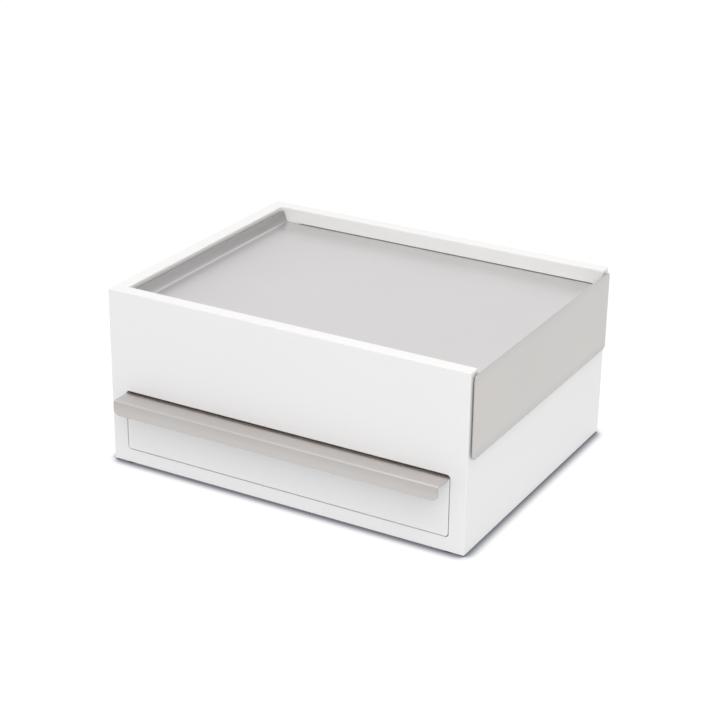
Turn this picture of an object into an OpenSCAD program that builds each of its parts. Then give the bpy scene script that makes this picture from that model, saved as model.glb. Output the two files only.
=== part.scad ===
// Two-level drawer box with a sliding sheet-metal lid and one drawer.
//
// Lengths are in millimetres and +Z is up. The drawer opens towards -Y and the
// lid slides towards +X. The modules work in the case frame: X from the left
// end of the case, Y from its front face, Z from the surface that the box
// stands on. placed() then moves everything so that the origin lies under the
// middle of the whole box, handle and pull plate included.

/* [Case] */
// Width of the case, left to right
case_w = 260; // [220:1:340]
// Depth of the case, front to back, without the handle
case_d = 205; // [170:1:280]
// Height of the case boards, above the foot pads
case_h = 121; // [112:1:180]
// Thickness of the outer boards
board_t = 9.5; // [9:0.5:13]
// Thickness of the shelf over the drawer bay
shelf_t = 4; // [3:0.5:8]
// Depth of the housings that hold the shelf in the outer boards
housing_d = 3; // [1.5:0.5:4]
// Diameter of the foot pads
foot_d = 8; // [6:0.5:9]
// Thickness of the foot pads
foot_t = 1; // [0.5:0.1:3]
// Distance of the foot pads from the ends of the case
foot_inset = 12; // [6:1:30]

/* [Case dowels] */
// Diameter of the dowels in the corners of the case
dowel_d = 4; // [3:0.5:5]
// Length of the dowels
dowel_l = 18; // [14:1:24]
// Depth of the dowels in the face of a board
dowel_in_face = 6; // [4:0.5:7]
// Distance of the dowels from the ends of a joint and from the shelf
dowel_inset = 18; // [10:1:22]

/* [Drawer bay] */
// Height of the opening in the front board
bay_h = 42.3; // [38:0.1:48]
// Step between the opening and the end boards
stile_step = 1.5; // [1:0.5:12]
// Corner radius of the opening
bay_corner_r = 2.5; // [1:0.5:3]
// Thickness of the runner strips under the drawer
runner_t = 0.5; // [0.3:0.1:1]
// Width of the runner strips
runner_w = 8; // [6:0.5:12]
// Height of the guide strips beside the drawer
guide_h = 12; // [6:1:18]
// Height of the guide strips above the floor of the bay
guide_lift = 9; // [4:1:14]
// Distance from the front board's back to the front end of the guide strips
guide_setback = 50; // [10:1:80]
// Distance of the bumpers from the drawer's sides
bumper_inset = 20; // [10:1:60]
// Diameter of the bumpers behind the drawer
bumper_d = 10; // [6:1:14]
// Thickness of the bumpers behind the drawer
bumper_t = 3; // [1.5:0.5:6]

/* [Drawer] */
// Gap at the ends of the drawer front and under it
front_gap = 0.6; // [0.3:0.1:1.2]
// Gap between the handle and the top of the opening
handle_gap = 1.4; // [0.8:0.1:3]
// Thickness of the drawer's sides and back
side_t = 6; // [5:0.5:9]
// Drop of the drawer's sides below the top of the drawer front
side_drop = 1.7; // [1:0.1:6]
// Thickness of the drawer's bottom
bottom_t = 3; // [2:0.5:5]
// Height of the drawer's bottom above the lower edge of its sides
bottom_lift = 3; // [3:0.5:6]
// Depth of the grooves that hold the drawer's bottom
bottom_groove_d = 3; // [1.5:0.5:3.5]
// Distance from the front board's back to the back of the stop block
stop_setback = 36.6; // [20:0.1:80]
// Width of the stop block under the shelf
stop_w = 30; // [20:1:60]
// Thickness of the stop block, front to back
stop_t = 8; // [7:0.5:16]
// Drop of the stop block below the shelf
stop_drop = 3.2; // [2.4:0.1:4]
// Diameter of the pins in the drawer's corners
pin_d = 2; // [1.5:0.1:2.4]
// Length of the pins in the drawer's corners
pin_l = 16; // [12:1:20]
// Depth of the pins in the drawer front
pin_in_front = 5; // [3:0.5:7]
// Depth of the pin heads below the faces of the drawer's sides
pin_sunk = 1; // [0.5:0.5:2]

/* [Handle] */
// Sheet thickness of the handle
handle_t = 1.2; // [0.8:0.1:2]
// How far the handle stands out in front of the drawer
handle_reach = 15; // [10:0.5:25]
// Height of the handle's front flange
handle_h = 9.9; // [8:0.1:16]
// Inside bend radius of the handle
handle_bend_r = 0.8; // [0.5:0.1:1.5]
// Radius of the lower corners of the handle
handle_corner_r = 4; // [2:0.5:6]
// Gap between the ends of the handle and the drawer opening
handle_end_gap = 0.8; // [0.4:0.1:4]
// Height of the leg behind the drawer front
leg_h = 11.5; // [10:0.5:14]
// Shank diameter of the screws
screw_d = 3; // [2.5:0.1:3.5]
// Head diameter of the screws
screw_head_d = 5.6; // [5:0.1:6.4]
// Head height of the screws
screw_head_h = 2; // [1.4:0.1:2.4]
// Length of the screws under the head
screw_l = 7.5; // [6:0.5:8]
// Distance of the outer screws from the ends of the handle's leg
screw_inset = 32; // [20:1:60]
// Length of the arms of the screws' cross recess
recess_l = 3.4; // [2.4:0.1:4]
// Width of the arms of the screws' cross recess
recess_w = 0.8; // [0.6:0.1:1.2]
// Depth of the screws' cross recess
recess_h = 1; // [0.5:0.1:1.4]

/* [Lid] */
// Sheet thickness of the lid and of the pull plate
lid_t = 1; // [0.8:0.1:1.5]
// Depth of the lid's surface below the top of the walls
lid_drop = 10.5; // [8:0.5:16]
// Drop of the left lip below the top of the walls
lip_drop = 2.7; // [1:0.1:5]
// How far the lip leans towards the left board, per millimetre of its length;
// 0.28 goes with an exact cosine of 0.96
lip_lean = 0.28; // [0:0.28:0.28]
// Distance between the left board and the flat of the lid
lip_space = 6; // [5.8:0.1:8]
// Gap between the lip and the front and back boards
lip_gap = 0.6; // [0.3:0.1:1.5]
// Inside bend radius of the lid
lid_bend_r = 1.6; // [0.8:0.1:2.5]
// Depth of the grooves in the front and back boards
groove_d = 3.5; // [2:0.5:4.5]
// Gap between the lid's edge and the bottom of its groove
groove_side_gap = 0.5; // [0.3:0.1:1]
// Gap between the lid's edge and the left end of its groove
groove_end_gap = 0.5; // [0.3:0.1:1]
// Gap above the lid in its grooves
groove_top_gap = 0.4; // [0.2:0.1:0.8]
// Thickness of the felt strips under the lid
felt_t = 0.8; // [0.5:0.1:1.5]
// How far the lid opens
lid_travel = 150; // [60:1:160]
// Height of the pull plate outside the right end
pull_h = 55; // [30:1:80]
// Drop of the pull plate below the top of the walls
pull_drop = 2.5; // [1:0.5:5]
// Gap between the pull plate and the right end of the case
pull_gap = 1.2; // [0.8:0.1:2.5]
// Distance of the pull plate from the front and back faces
pull_inset = 2.5; // [1:0.5:8]
// Corner radius of the pull plate
pull_corner_r = 3; // [1:0.5:8]
// Height of the pull plate's edge above the upstand that carries it
upstand_drop = 0.6; // [0.3:0.1:1.5]
// Diameter of the buffers behind the pull plate
buffer_d = 8; // [5:1:12]
// Distance of the buffers from the front and back faces
buffer_inset = 50; // [20:1:80]
// Setback of the lid's edges in the grooves from the right end
tongue_setback = 1; // [0.5:0.5:4]
// Length of the stop ears under the lid
ear_l = 8; // [6:1:16]
// Height of the stop ears under the lid
ear_h = 5; // [4:0.5:6.5]
// Distance of the stop ears from the bend of the lip
ear_setback = 2; // [2:1:10]
// Diameter of the lid's stop pins
stop_pin_d = 3; // [2:0.5:4]
// Depth of the stop pins in the boards
stop_pin_in = 5; // [3:0.5:6]
// How far the stop pins reach past the ears, inwards and down
stop_pin_past = 0.8; // [0.5:0.1:1]

/* [Upper compartment] */
// Thickness of the lining boards
lining_t = 2; // [1.5:0.5:3]
// Drop of the lining boards below the lid
lining_drop = 7.5; // [7:0.5:14]
// Thickness of the dividers
divider_t = 4; // [3:0.5:6]
// Drop of the dividers below the top of the linings
divider_drop = 2; // [1:0.5:8]
// Width of the ring section at the left
ring_bay_w = 54; // [40:1:70]
// Number of cushions in the ring section
roll_count = 4; // [2:1:5]
// Height of the ring cushions
roll_h = 32; // [24:1:40]
// Gap between the ring cushions
roll_gap = 0.3; // [0.2:0.1:1]

/* [Drawer lining] */
// Drop of the drawer's linings below the handle's leg
drawer_lining_drop = 1; // [0.5:0.5:4]
// Width of the right-hand compartment in the drawer
drawer_end_bay_w = 78; // [50:1:100]

/* [Hidden] */
$fn = 64;

// Clearances: what runs, what passes an edge, a stop at the end of its travel,
// and a pin, dowel or screw in its bore
run_gap = 0.1;
stop_gap = 0.3;
bore_gap = 0.05;
cut_over = 1; // how far a cut runs past the face that it starts from

// Case: inner faces, drawer bay, shelf and rim
in_x0 = board_t;
in_x1 = case_w - board_t;
in_y0 = board_t;
in_y1 = case_d - board_t;
case_z0 = foot_t;
rim_z = case_z0 + case_h;
base_z1 = case_z0 + board_t;
bay_x0 = in_x0 + stile_step;
bay_x1 = in_x1 - stile_step;
bay_z1 = base_z1 + bay_h;
shelf_z1 = bay_z1 + shelf_t;

// Lid: plate, grooves, lip, upstand and pull plate
plate_z1 = rim_z - lid_drop;
plate_z0 = plate_z1 - lid_t;
groove_z0 = plate_z0 - run_gap - felt_t;
groove_z1 = plate_z1 + groove_top_gap;
dowel_heights = [case_z0 + dowel_inset, shelf_z1 + dowel_inset, groove_z0 - dowel_inset];
lid_bend_out = lid_bend_r + lid_t;
lid_bend_z = plate_z0 + lid_bend_out;
lip_z1 = rim_z - lip_drop;
lip_angle = asin(lip_lean);
lip_l = (lip_z1 - lid_bend_z + lid_bend_r * lip_lean) / cos(lip_angle);
lip_bend_x = in_x0 + lip_space;
lip_y0 = in_y0 + lip_gap;
lip_y1 = in_y1 - lip_gap;
plate_y0 = in_y0 - groove_d + groove_side_gap;
plate_y1 = in_y1 + groove_d - groove_side_gap;
pull_x0 = case_w + pull_gap;
pull_x1 = pull_x0 + lid_t;
pull_z1 = rim_z - pull_drop;
pull_z0 = pull_z1 - pull_h;
ear_x0 = lip_bend_x + ear_setback;
ear_x1 = ear_x0 + ear_l;
tongue_x0 = ear_x1; // where the plate widens into its grooves
groove_x0 = tongue_x0 - groove_end_gap;
stop_pin_out = lip_gap + lid_t + stop_pin_past;
stop_pin_x = ear_x1 + lid_travel + stop_gap + stop_pin_d / 2;
stop_pin_z = plate_z0 - ear_h - stop_pin_past + stop_pin_d / 2;

// Upper compartment: floor, linings and dividers
lined_z0 = shelf_z1 + lining_t;
lining_z1 = plate_z0 - lining_drop;
lined_x0 = in_x0 + lining_t;
lined_x1 = in_x1 - lining_t;
lined_y0 = in_y0 + lining_t;
lined_y1 = in_y1 - lining_t;
ring_div_x = lined_x0 + ring_bay_w;
divider_z1 = lining_z1 - divider_drop;
halving_z = (lined_z0 + divider_z1) / 2;
cross_x = (ring_div_x + divider_t + lined_x1 - divider_t) / 2;
long_y = (lined_y0 + lined_y1 - divider_t) / 2;
roll_w = (ring_bay_w - roll_gap * (roll_count + 1)) / roll_count;

// Handle and drawer: the handle's plate lies on the drawer front
plate_top = bay_z1 - handle_gap;
front_z1 = plate_top - handle_t;
front_z0 = base_z1 + runner_t + run_gap;
front_x0 = bay_x0 + front_gap;
front_x1 = bay_x1 - front_gap;
handle_bend_out = handle_bend_r + handle_t;
handle_x0 = bay_x0 + handle_end_gap;
handle_x1 = bay_x1 - handle_end_gap;
handle_z0 = plate_top - handle_h;
side_z0 = front_z0;
side_z1 = front_z1 - side_drop;
drawer_y1 = in_y1 - bumper_t - run_gap;
drawer_in_x0 = front_x0 + side_t;
drawer_in_x1 = front_x1 - side_t;
drawer_in_y1 = drawer_y1 - side_t;
bottom_z0 = side_z0 + bottom_lift;
bottom_z1 = bottom_z0 + bottom_t;
leg_x0 = drawer_in_x0 + front_gap;
leg_x1 = drawer_in_x1 - front_gap;
leg_z0 = front_z1 - leg_h;
leg_step_z = front_z1 - side_drop / 2; // the leg narrows here, above the drawer's sides
screw_z = leg_z0 + (leg_h - handle_bend_r) / 2;
drawer_lined_z0 = bottom_z1 + lining_t;
drawer_lining_z1 = leg_z0 - drawer_lining_drop;
drawer_lined_x0 = drawer_in_x0 + lining_t;
drawer_lined_x1 = drawer_in_x1 - lining_t;
drawer_lined_y0 = board_t + lining_t;
drawer_lined_y1 = drawer_in_y1 - lining_t;
drawer_divider_x = drawer_lined_x1 - drawer_end_bay_w - divider_t;
stop_y1 = in_y0 + stop_setback;
back_z1 = bay_z1 - front_gap;

// The origin, under the middle of the whole box
origin_x = pull_x1 / 2;
origin_y = (case_d - handle_reach) / 2;

white = [0.93, 0.93, 0.94];
nickel = [0.80, 0.79, 0.77];
linen = [0.62, 0.61, 0.59];
raw_board = [0.78, 0.68, 0.54];
felt_grey = [0.45, 0.45, 0.46];
beech = [0.85, 0.72, 0.55];
steel = [0.68, 0.69, 0.71];
pad_grey = [0.30, 0.30, 0.31];

// ---- Shapes that repeat ----

// Moves a piece from the case frame to the frame of the whole box
module placed() {
  translate([-origin_x, -origin_y, 0]) children();
}

// A board between two corners
module block(low, high) {
  translate(low) cube(high - low);
}

// Rods along X, Y and Z from a start point
module rod_x(start, length, d) {
  translate(start) rotate([0, 90, 0]) cylinder(d = d, h = length);
}

module rod_y(start, length, d) {
  translate(start) rotate([-90, 0, 0]) cylinder(d = d, h = length);
}

module rod_z(start, length, d) {
  translate(start) cylinder(d = d, h = length);
}

// A flat outline with round corners, from its lower left corner
module rounded_outline(w, h, r) {
  translate([r, 0]) square([w - 2 * r, h]);
  translate([0, r]) square([w, h - 2 * r]);
  for (x = [r, w - r], y = [r, h - r]) translate([x, y]) circle(r);
}

// An outline drawn in X and Z, made as thick as depth from y towards +Y
module along_y(y, depth) {
  translate([0, y + depth, 0]) rotate([90, 0, 0]) linear_extrude(depth) children();
}

// An outline drawn in Y and Z, made as thick as depth from x towards +X
module along_x(x, depth) {
  translate([x, 0, 0]) rotate([90, 0, 90]) linear_extrude(depth) children();
}

// The quarter of a ring round the outline origin that a bend in sheet leaves,
// on the side that sx and sy point to
module bend(r_in, t, sx, sy) {
  intersection() {
    difference() {
      circle(r_in + t);
      circle(r_in);
    }
    translate([sx < 0 ? -r_in - t : 0, sy < 0 ? -r_in - t : 0]) square(r_in + t);
  }
}

// ---- Case ----

// The dowels that join the end boards to the front and back boards
module all_dowels(d, grow = 0) {
  for (x = [board_t / 2, case_w - board_t / 2], z = dowel_heights) {
    rod_y([x, in_y0 - dowel_in_face - grow, z], dowel_l + 2 * grow, d);
    rod_y([x, in_y1 - dowel_l + dowel_in_face - grow, z], dowel_l + 2 * grow, d);
  }
}

module dowel_bores() {
  all_dowels(dowel_d + 2 * bore_gap, bore_gap);
}

// The flat space in which the lid slides; it leaves a groove in the front and
// back boards that is open at the right end
module lid_space() {
  block([groove_x0, in_y0 - groove_d, groove_z0], [case_w + cut_over, in_y1 + groove_d, groove_z1]);
}

module stop_pins(d, grow = 0) {
  rod_y([stop_pin_x, in_y0 - stop_pin_in - grow, stop_pin_z], stop_pin_in + stop_pin_out + grow, d);
  rod_y([stop_pin_x, in_y1 - stop_pin_out, stop_pin_z], stop_pin_in + stop_pin_out + grow, d);
}

// The space that the shelf takes, tongues included
module shelf_space() {
  block([in_x0 - housing_d, in_y0, bay_z1], [in_x1 + housing_d, in_y1 + housing_d, shelf_z1]);
}

// One continuous board with the drawer opening cut through it
module front_board() {
  color(white) difference() {
    block([0, 0, case_z0], [case_w, board_t, rim_z]);
    along_y(-cut_over, board_t + 2 * cut_over)
      translate([bay_x0, base_z1]) rounded_outline(bay_x1 - bay_x0, bay_h, bay_corner_r);
    lid_space();
    dowel_bores();
    stop_pins(stop_pin_d + 2 * bore_gap, bore_gap);
  }
}

module back_board() {
  color(white) difference() {
    block([0, in_y1, case_z0], [case_w, case_d, rim_z]);
    lid_space();
    shelf_space();
    dowel_bores();
    stop_pins(stop_pin_d + 2 * bore_gap, bore_gap);
  }
}

module left_board() {
  color(white) difference() {
    block([0, in_y0, case_z0], [in_x0, in_y1, rim_z]);
    shelf_space();
    dowel_bores();
  }
}

// The right board ends under the lid, which slides out over it
module right_board() {
  color(white) difference() {
    block([in_x1, in_y0, case_z0], [case_w, in_y1, groove_z0]);
    shelf_space();
    dowel_bores();
  }
}

module base_board() {
  color(white) block([in_x0, in_y0, case_z0], [in_x1, in_y1, base_z1]);
}

module shelf() {
  color(raw_board) difference() {
    shelf_space();
    stop_screw_cut();
  }
}

module case_dowels() {
  color(beech) all_dowels(dowel_d);
}

// Thin pads under the corners, small enough to stand on the rim of a box below
module foot_pads() {
  color(pad_grey)
    for (x = [foot_inset, case_w - foot_inset], y = [board_t / 2, case_d - board_t / 2])
      rod_z([x, y, 0], foot_t, foot_d);
}

// ---- Drawer bay ----

module runner_strips() {
  color(pad_grey) for (x = [bay_x0, bay_x1 - runner_w])
    block([x, in_y0, base_z1], [x + runner_w, drawer_y1, base_z1 + runner_t]);
}

// Strips that fill the step between the opening and the end boards
module guide_strips() {
  z0 = base_z1 + guide_lift;
  color(pad_grey) for (x = [[in_x0, bay_x0], [bay_x1, in_x1]])
    block([x[0], in_y0 + guide_setback, z0], [x[1], drawer_in_y1, z0 + guide_h]);
}

module drawer_bumpers() {
  color(felt_grey) for (x = [drawer_in_x0 + bumper_inset, drawer_in_x1 - bumper_inset])
    rod_y([x, in_y1 - bumper_t, (side_z0 + side_z1) / 2], bumper_t, bumper_d);
}

// The block that the drawer's raised back meets when it is pulled out
module drawer_stop_block() {
  color(beech) difference() {
    block([(case_w - stop_w) / 2, stop_y1 - stop_t, bay_z1 - stop_drop],
          [(case_w + stop_w) / 2, stop_y1, bay_z1]);
    stop_screw_cut();
  }
}

module stop_screw_shape(d, head_d, grow = 0) {
  head_h = (head_d - d) / 2;
  translate([case_w / 2, stop_y1 - stop_t / 2, 0]) {
    rod_z([0, 0, bay_z1 - stop_drop + run_gap - grow], shelf_t + stop_drop - run_gap + grow, d);
    translate([0, 0, shelf_z1 - head_h]) cylinder(d1 = d, d2 = head_d, h = head_h);
  }
}

module stop_screw_cut() {
  stop_screw_shape(screw_d + 2 * bore_gap, screw_head_d + 2 * bore_gap, cut_over);
}

module drawer_stop_screw() {
  color(steel) difference() {
    stop_screw_shape(screw_d, screw_head_d);
    translate([case_w / 2, stop_y1 - stop_t / 2, shelf_z1]) cross_recess();
  }
}

// A cross-shaped recess, cut down from a screw's head
module cross_recess() {
  for (turn = [0, 90]) rotate([0, 0, turn]) cube([recess_l, recess_w, 2 * recess_h], center = true);
}

// ---- Lid ----

module lid_felt_strips() {
  color(felt_grey) {
    for (y = [plate_y0, in_y1]) block([tongue_x0, y, groove_z0],
      [case_w, y + groove_d - groove_side_gap, groove_z0 + felt_t]);
    block([in_x1, lip_y0, groove_z0], [case_w, lip_y1, groove_z0 + felt_t]);
  }
}

module lid_stop_pins() {
  color(steel) stop_pins(stop_pin_d);
}

// The bent ends of the lid: leaning lip at the left, upstand at the right
module lid_ends_outline() {
  upstand_z1 = pull_z1 - upstand_drop;
  translate([lip_bend_x, lid_bend_z]) {
    intersection() {
      bend(lid_bend_r, lid_t, -1, -1);
      rotate(lip_angle) translate([-2 * lid_bend_out, -2 * lid_bend_out])
        square(2 * lid_bend_out);
    }
    rotate(lip_angle) translate([-lid_bend_out, 0]) square([lid_t, lip_l]);
  }
  translate([pull_x0 - lid_bend_out, lid_bend_z]) bend(lid_bend_r, lid_t, 1, -1);
  translate([pull_x0 - lid_t, lid_bend_z]) square([lid_t, upstand_z1 - lid_bend_z]);
}

// One bent sheet: its plate runs in the grooves, and two ears under it meet
// the stop pins when the lid is open
module lid_tray() {
  color(nickel) {
    block([tongue_x0, plate_y0, plate_z0], [case_w - tongue_setback, plate_y1, plate_z1]);
    block([lip_bend_x, lip_y0, plate_z0], [pull_x0 - lid_bend_out, lip_y1, plate_z1]);
    along_y(lip_y0, lip_y1 - lip_y0) lid_ends_outline();
    for (y = [lip_y0, lip_y1 - lid_t])
      block([ear_x0, y, plate_z0 - ear_h], [ear_x1, y + lid_t, plate_z0]);
  }
}

// The plate that hides the right end of the grooves and is pulled to slide the lid
module lid_pull_plate() {
  color(nickel) along_x(pull_x0, lid_t) translate([pull_inset, pull_z0])
    rounded_outline(case_d - 2 * pull_inset, pull_h, pull_corner_r);
}

module lid_buffers() {
  color(pad_grey) for (y = [buffer_inset, case_d - buffer_inset])
    rod_x([case_w + run_gap, y, pull_z0 + pull_corner_r + buffer_d / 2],
          pull_gap - run_gap, buffer_d);
}

// ---- Upper compartment ----

module floor_lining() {
  color(linen) block([in_x0, in_y0, shelf_z1], [in_x1, in_y1, lined_z0]);
}

module front_lining() {
  color(linen) block([in_x0, in_y0, lined_z0], [in_x1, lined_y0, lining_z1]);
}

module back_lining() {
  color(linen) block([in_x0, lined_y1, lined_z0], [in_x1, in_y1, lining_z1]);
}

module left_lining() {
  color(linen) block([in_x0, lined_y0, lined_z0], [lined_x0, lined_y1, lining_z1]);
}

module right_lining() {
  color(linen) block([lined_x1, lined_y0, lined_z0], [in_x1, lined_y1, lining_z1]);
}

module ring_divider() {
  color(linen) block([ring_div_x, lined_y0, lined_z0], [ring_div_x + divider_t, lined_y1, divider_z1]);
}

// The two crossing dividers are halved into each other
module long_divider() {
  color(linen) difference() {
    block([ring_div_x + divider_t, long_y, lined_z0], [lined_x1, long_y + divider_t, divider_z1]);
    block([cross_x - run_gap, long_y - cut_over, halving_z],
          [cross_x + divider_t + run_gap, long_y + divider_t + cut_over, divider_z1 + cut_over]);
  }
}

module cross_divider() {
  color(linen) difference() {
    block([cross_x, lined_y0, lined_z0], [cross_x + divider_t, lined_y1, divider_z1]);
    block([cross_x - cut_over, long_y - run_gap, lined_z0 - cut_over],
          [cross_x + divider_t + cut_over, long_y + divider_t + run_gap, halving_z]);
  }
}

// A foam cushion with a round top; rings are held between two of them
module ring_roll(i) {
  x0 = lined_x0 + roll_gap + (i - 1) * (roll_w + roll_gap);
  color(linen) along_y(lined_y0 + roll_gap, lined_y1 - lined_y0 - 2 * roll_gap)
    translate([x0, lined_z0]) {
      square([roll_w, roll_h - roll_w / 2]);
      translate([roll_w / 2, roll_h - roll_w / 2]) circle(d = roll_w);
    }
}

// ---- Drawer ----

// The outline of the drawer seen from the front: its lower corners follow
// those of the opening
module drawer_outline(y0, y1) {
  along_y(y0, y1 - y0) translate([front_x0, front_z0])
    rounded_outline(front_x1 - front_x0, 2 * bay_h, max(bay_corner_r - front_gap, run_gap));
}

// Its upper back edge is eased for the bend of the handle
module drawer_front() {
  ease = handle_bend_r;
  color(white) difference() {
    intersection() {
      along_x(front_x0, front_x1 - front_x0) polygon([
        [0, front_z0], [board_t, front_z0], [board_t, front_z1 - ease],
        [board_t - ease, front_z1], [0, front_z1]]);
      drawer_outline(0, board_t);
    }
    bottom_space();
    all_pins(pin_d + 2 * bore_gap, bore_gap);
    for (x = screw_places()) rod_y([x, board_t - screw_l + handle_t - bore_gap, screw_z],
      screw_l + cut_over, screw_d + 2 * bore_gap);
  }
}

// The space that the drawer's bottom takes in the grooves round it
module bottom_space() {
  block([drawer_in_x0 - bottom_groove_d, board_t - bottom_groove_d, bottom_z0],
        [drawer_in_x1 + bottom_groove_d, drawer_in_y1 + bottom_groove_d, bottom_z1]);
}

// Heights of the pins that hold the drawer's front and back to its sides
function pin_heights() = [side_z0 + bottom_lift / 2, bottom_z1 + (side_z1 - bottom_z1) / 2,
                          side_z1 - bottom_lift];

// Pins through the drawer's corners: along Y into the front, along X into the back
module all_pins(d, grow = 0) {
  for (z = pin_heights()) {
    for (x = [front_x0 + side_t / 2, front_x1 - side_t / 2])
      rod_y([x, board_t - pin_in_front - grow, z], pin_l + 2 * grow, d);
    for (x = [front_x0 + pin_sunk - grow, front_x1 - pin_sunk - pin_l - grow])
      rod_x([x, drawer_y1 - side_t / 2, z], pin_l + 2 * grow, d);
  }
}

module drawer_side(x) {
  color(white) difference() {
    intersection() {
      block([x, board_t, side_z0], [x + side_t, drawer_y1, side_z1]);
      drawer_outline(board_t, drawer_y1);
    }
    bottom_space();
    all_pins(pin_d + 2 * bore_gap, bore_gap);
  }
}

module drawer_left_side() {
  drawer_side(front_x0);
}

module drawer_right_side() {
  drawer_side(drawer_in_x1);
}

// The back stands above the sides, to meet the stop block
module drawer_back() {
  color(white) difference() {
    block([drawer_in_x0, drawer_in_y1, side_z0], [drawer_in_x1, drawer_y1, back_z1]);
    bottom_space();
    all_pins(pin_d + 2 * bore_gap, bore_gap);
  }
}

module drawer_bottom() {
  color(raw_board) bottom_space();
}

module drawer_pins() {
  color(steel) all_pins(pin_d);
}

// Places of the handle's screws along X
function screw_places() = [leg_x0 + screw_inset, case_w / 2, leg_x1 - screw_inset];

// The front flange, the plate over the drawer front and the leg behind it
module handle_outline() {
  front_bend = [-handle_reach + handle_bend_out, front_z1 - handle_bend_r];
  back_bend = [board_t - handle_bend_r, front_z1 - handle_bend_r];
  translate([-handle_reach, handle_z0]) square([handle_t, front_bend[1] - handle_z0]);
  translate(front_bend) bend(handle_bend_r, handle_t, -1, 1);
  translate([front_bend[0], front_z1]) square([back_bend[0] - front_bend[0], handle_t]);
  translate(back_bend) bend(handle_bend_r, handle_t, 1, 1);
  translate([board_t, leg_z0]) square([handle_t, back_bend[1] - leg_z0]);
}

// One bent sheet as wide as the drawer; its leg fits between the drawer's sides
module drawer_handle() {
  color(nickel) difference() {
    intersection() {
      along_x(handle_x0, handle_x1 - handle_x0) handle_outline();
      union() {
        translate([handle_x0, 0, handle_z0]) along_y(-handle_reach, handle_reach)
          rounded_outline(handle_x1 - handle_x0, 2 * handle_h, handle_corner_r);
        block([leg_x0, 0, leg_z0], [leg_x1, board_t + handle_bend_out, plate_top]);
        block([handle_x0, -cut_over, leg_step_z],
              [handle_x1, board_t + handle_bend_out, plate_top]);
      }
    }
    for (x = screw_places()) rod_y([x, board_t - cut_over, screw_z],
      handle_t + 2 * cut_over, screw_d + 2 * run_gap);
  }
}

module handle_screws() {
  color(steel) for (x = screw_places()) difference() {
    union() {
      rod_y([x, board_t + handle_t - screw_l, screw_z], screw_l + screw_head_h / 2, screw_d);
      rod_y([x, board_t + handle_t, screw_z], screw_head_h, screw_head_d);
    }
    translate([x, board_t + handle_t + screw_head_h, screw_z]) rotate([90, 0, 0]) cross_recess();
  }
}

module drawer_floor_lining() {
  color(linen) block([drawer_in_x0, board_t, bottom_z1], [drawer_in_x1, drawer_in_y1, drawer_lined_z0]);
}

module drawer_front_lining() {
  color(linen) block([drawer_in_x0, board_t, drawer_lined_z0],
                     [drawer_in_x1, drawer_lined_y0, drawer_lining_z1]);
}

module drawer_back_lining() {
  color(linen) block([drawer_in_x0, drawer_lined_y1, drawer_lined_z0],
                     [drawer_in_x1, drawer_in_y1, drawer_lining_z1]);
}

module drawer_left_lining() {
  color(linen) block([drawer_in_x0, drawer_lined_y0, drawer_lined_z0],
                     [drawer_lined_x0, drawer_lined_y1, drawer_lining_z1]);
}

module drawer_right_lining() {
  color(linen) block([drawer_lined_x1, drawer_lined_y0, drawer_lined_z0],
                     [drawer_in_x1, drawer_lined_y1, drawer_lining_z1]);
}

module drawer_divider() {
  color(linen) block([drawer_divider_x, drawer_lined_y0, drawer_lined_z0],
                     [drawer_divider_x + divider_t, drawer_lined_y1, drawer_lining_z1]);
}

placed() front_board();
placed() back_board();
placed() left_board();
placed() right_board();
placed() base_board();
placed() shelf();
placed() case_dowels();
placed() foot_pads();
placed() runner_strips();
placed() guide_strips();
placed() drawer_bumpers();
placed() drawer_stop_block();
placed() drawer_stop_screw();
placed() lid_felt_strips();
placed() lid_stop_pins();
placed() floor_lining();
placed() front_lining();
placed() back_lining();
placed() left_lining();
placed() right_lining();
placed() ring_divider();
placed() long_divider();
placed() cross_divider();
for (i = [1:roll_count])
  placed() ring_roll(i);
placed() lid_tray();
placed() lid_pull_plate();
placed() lid_buffers();
placed() drawer_front();
placed() drawer_left_side();
placed() drawer_right_side();
placed() drawer_back();
placed() drawer_bottom();
placed() drawer_pins();
placed() drawer_handle();
placed() handle_screws();
placed() drawer_floor_lining();
placed() drawer_front_lining();
placed() drawer_back_lining();
placed() drawer_left_lining();
placed() drawer_right_lining();
placed() drawer_divider();
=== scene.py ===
# %% [markdown]
# # A drawer box in white lacquer with a satin nickel lid
# A small box for jewellery or crafts: a white lacquered case with a lid of bent
# sheet metal that slides to the right, and a shallow drawer that is pulled by a
# bent metal edge. A CAD model gives every size and every joint. This script
# gives each part its finished shape and surface, one cell after the other.
#
# The CAD model comes first. Its parts are brought into world space, and the box
# of each part gives the sizes of the part that is dressed in its place. The
# dressed parts have to stay inside it.

import math

import bmesh
import bpy
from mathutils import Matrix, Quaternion, Vector, noise


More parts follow.
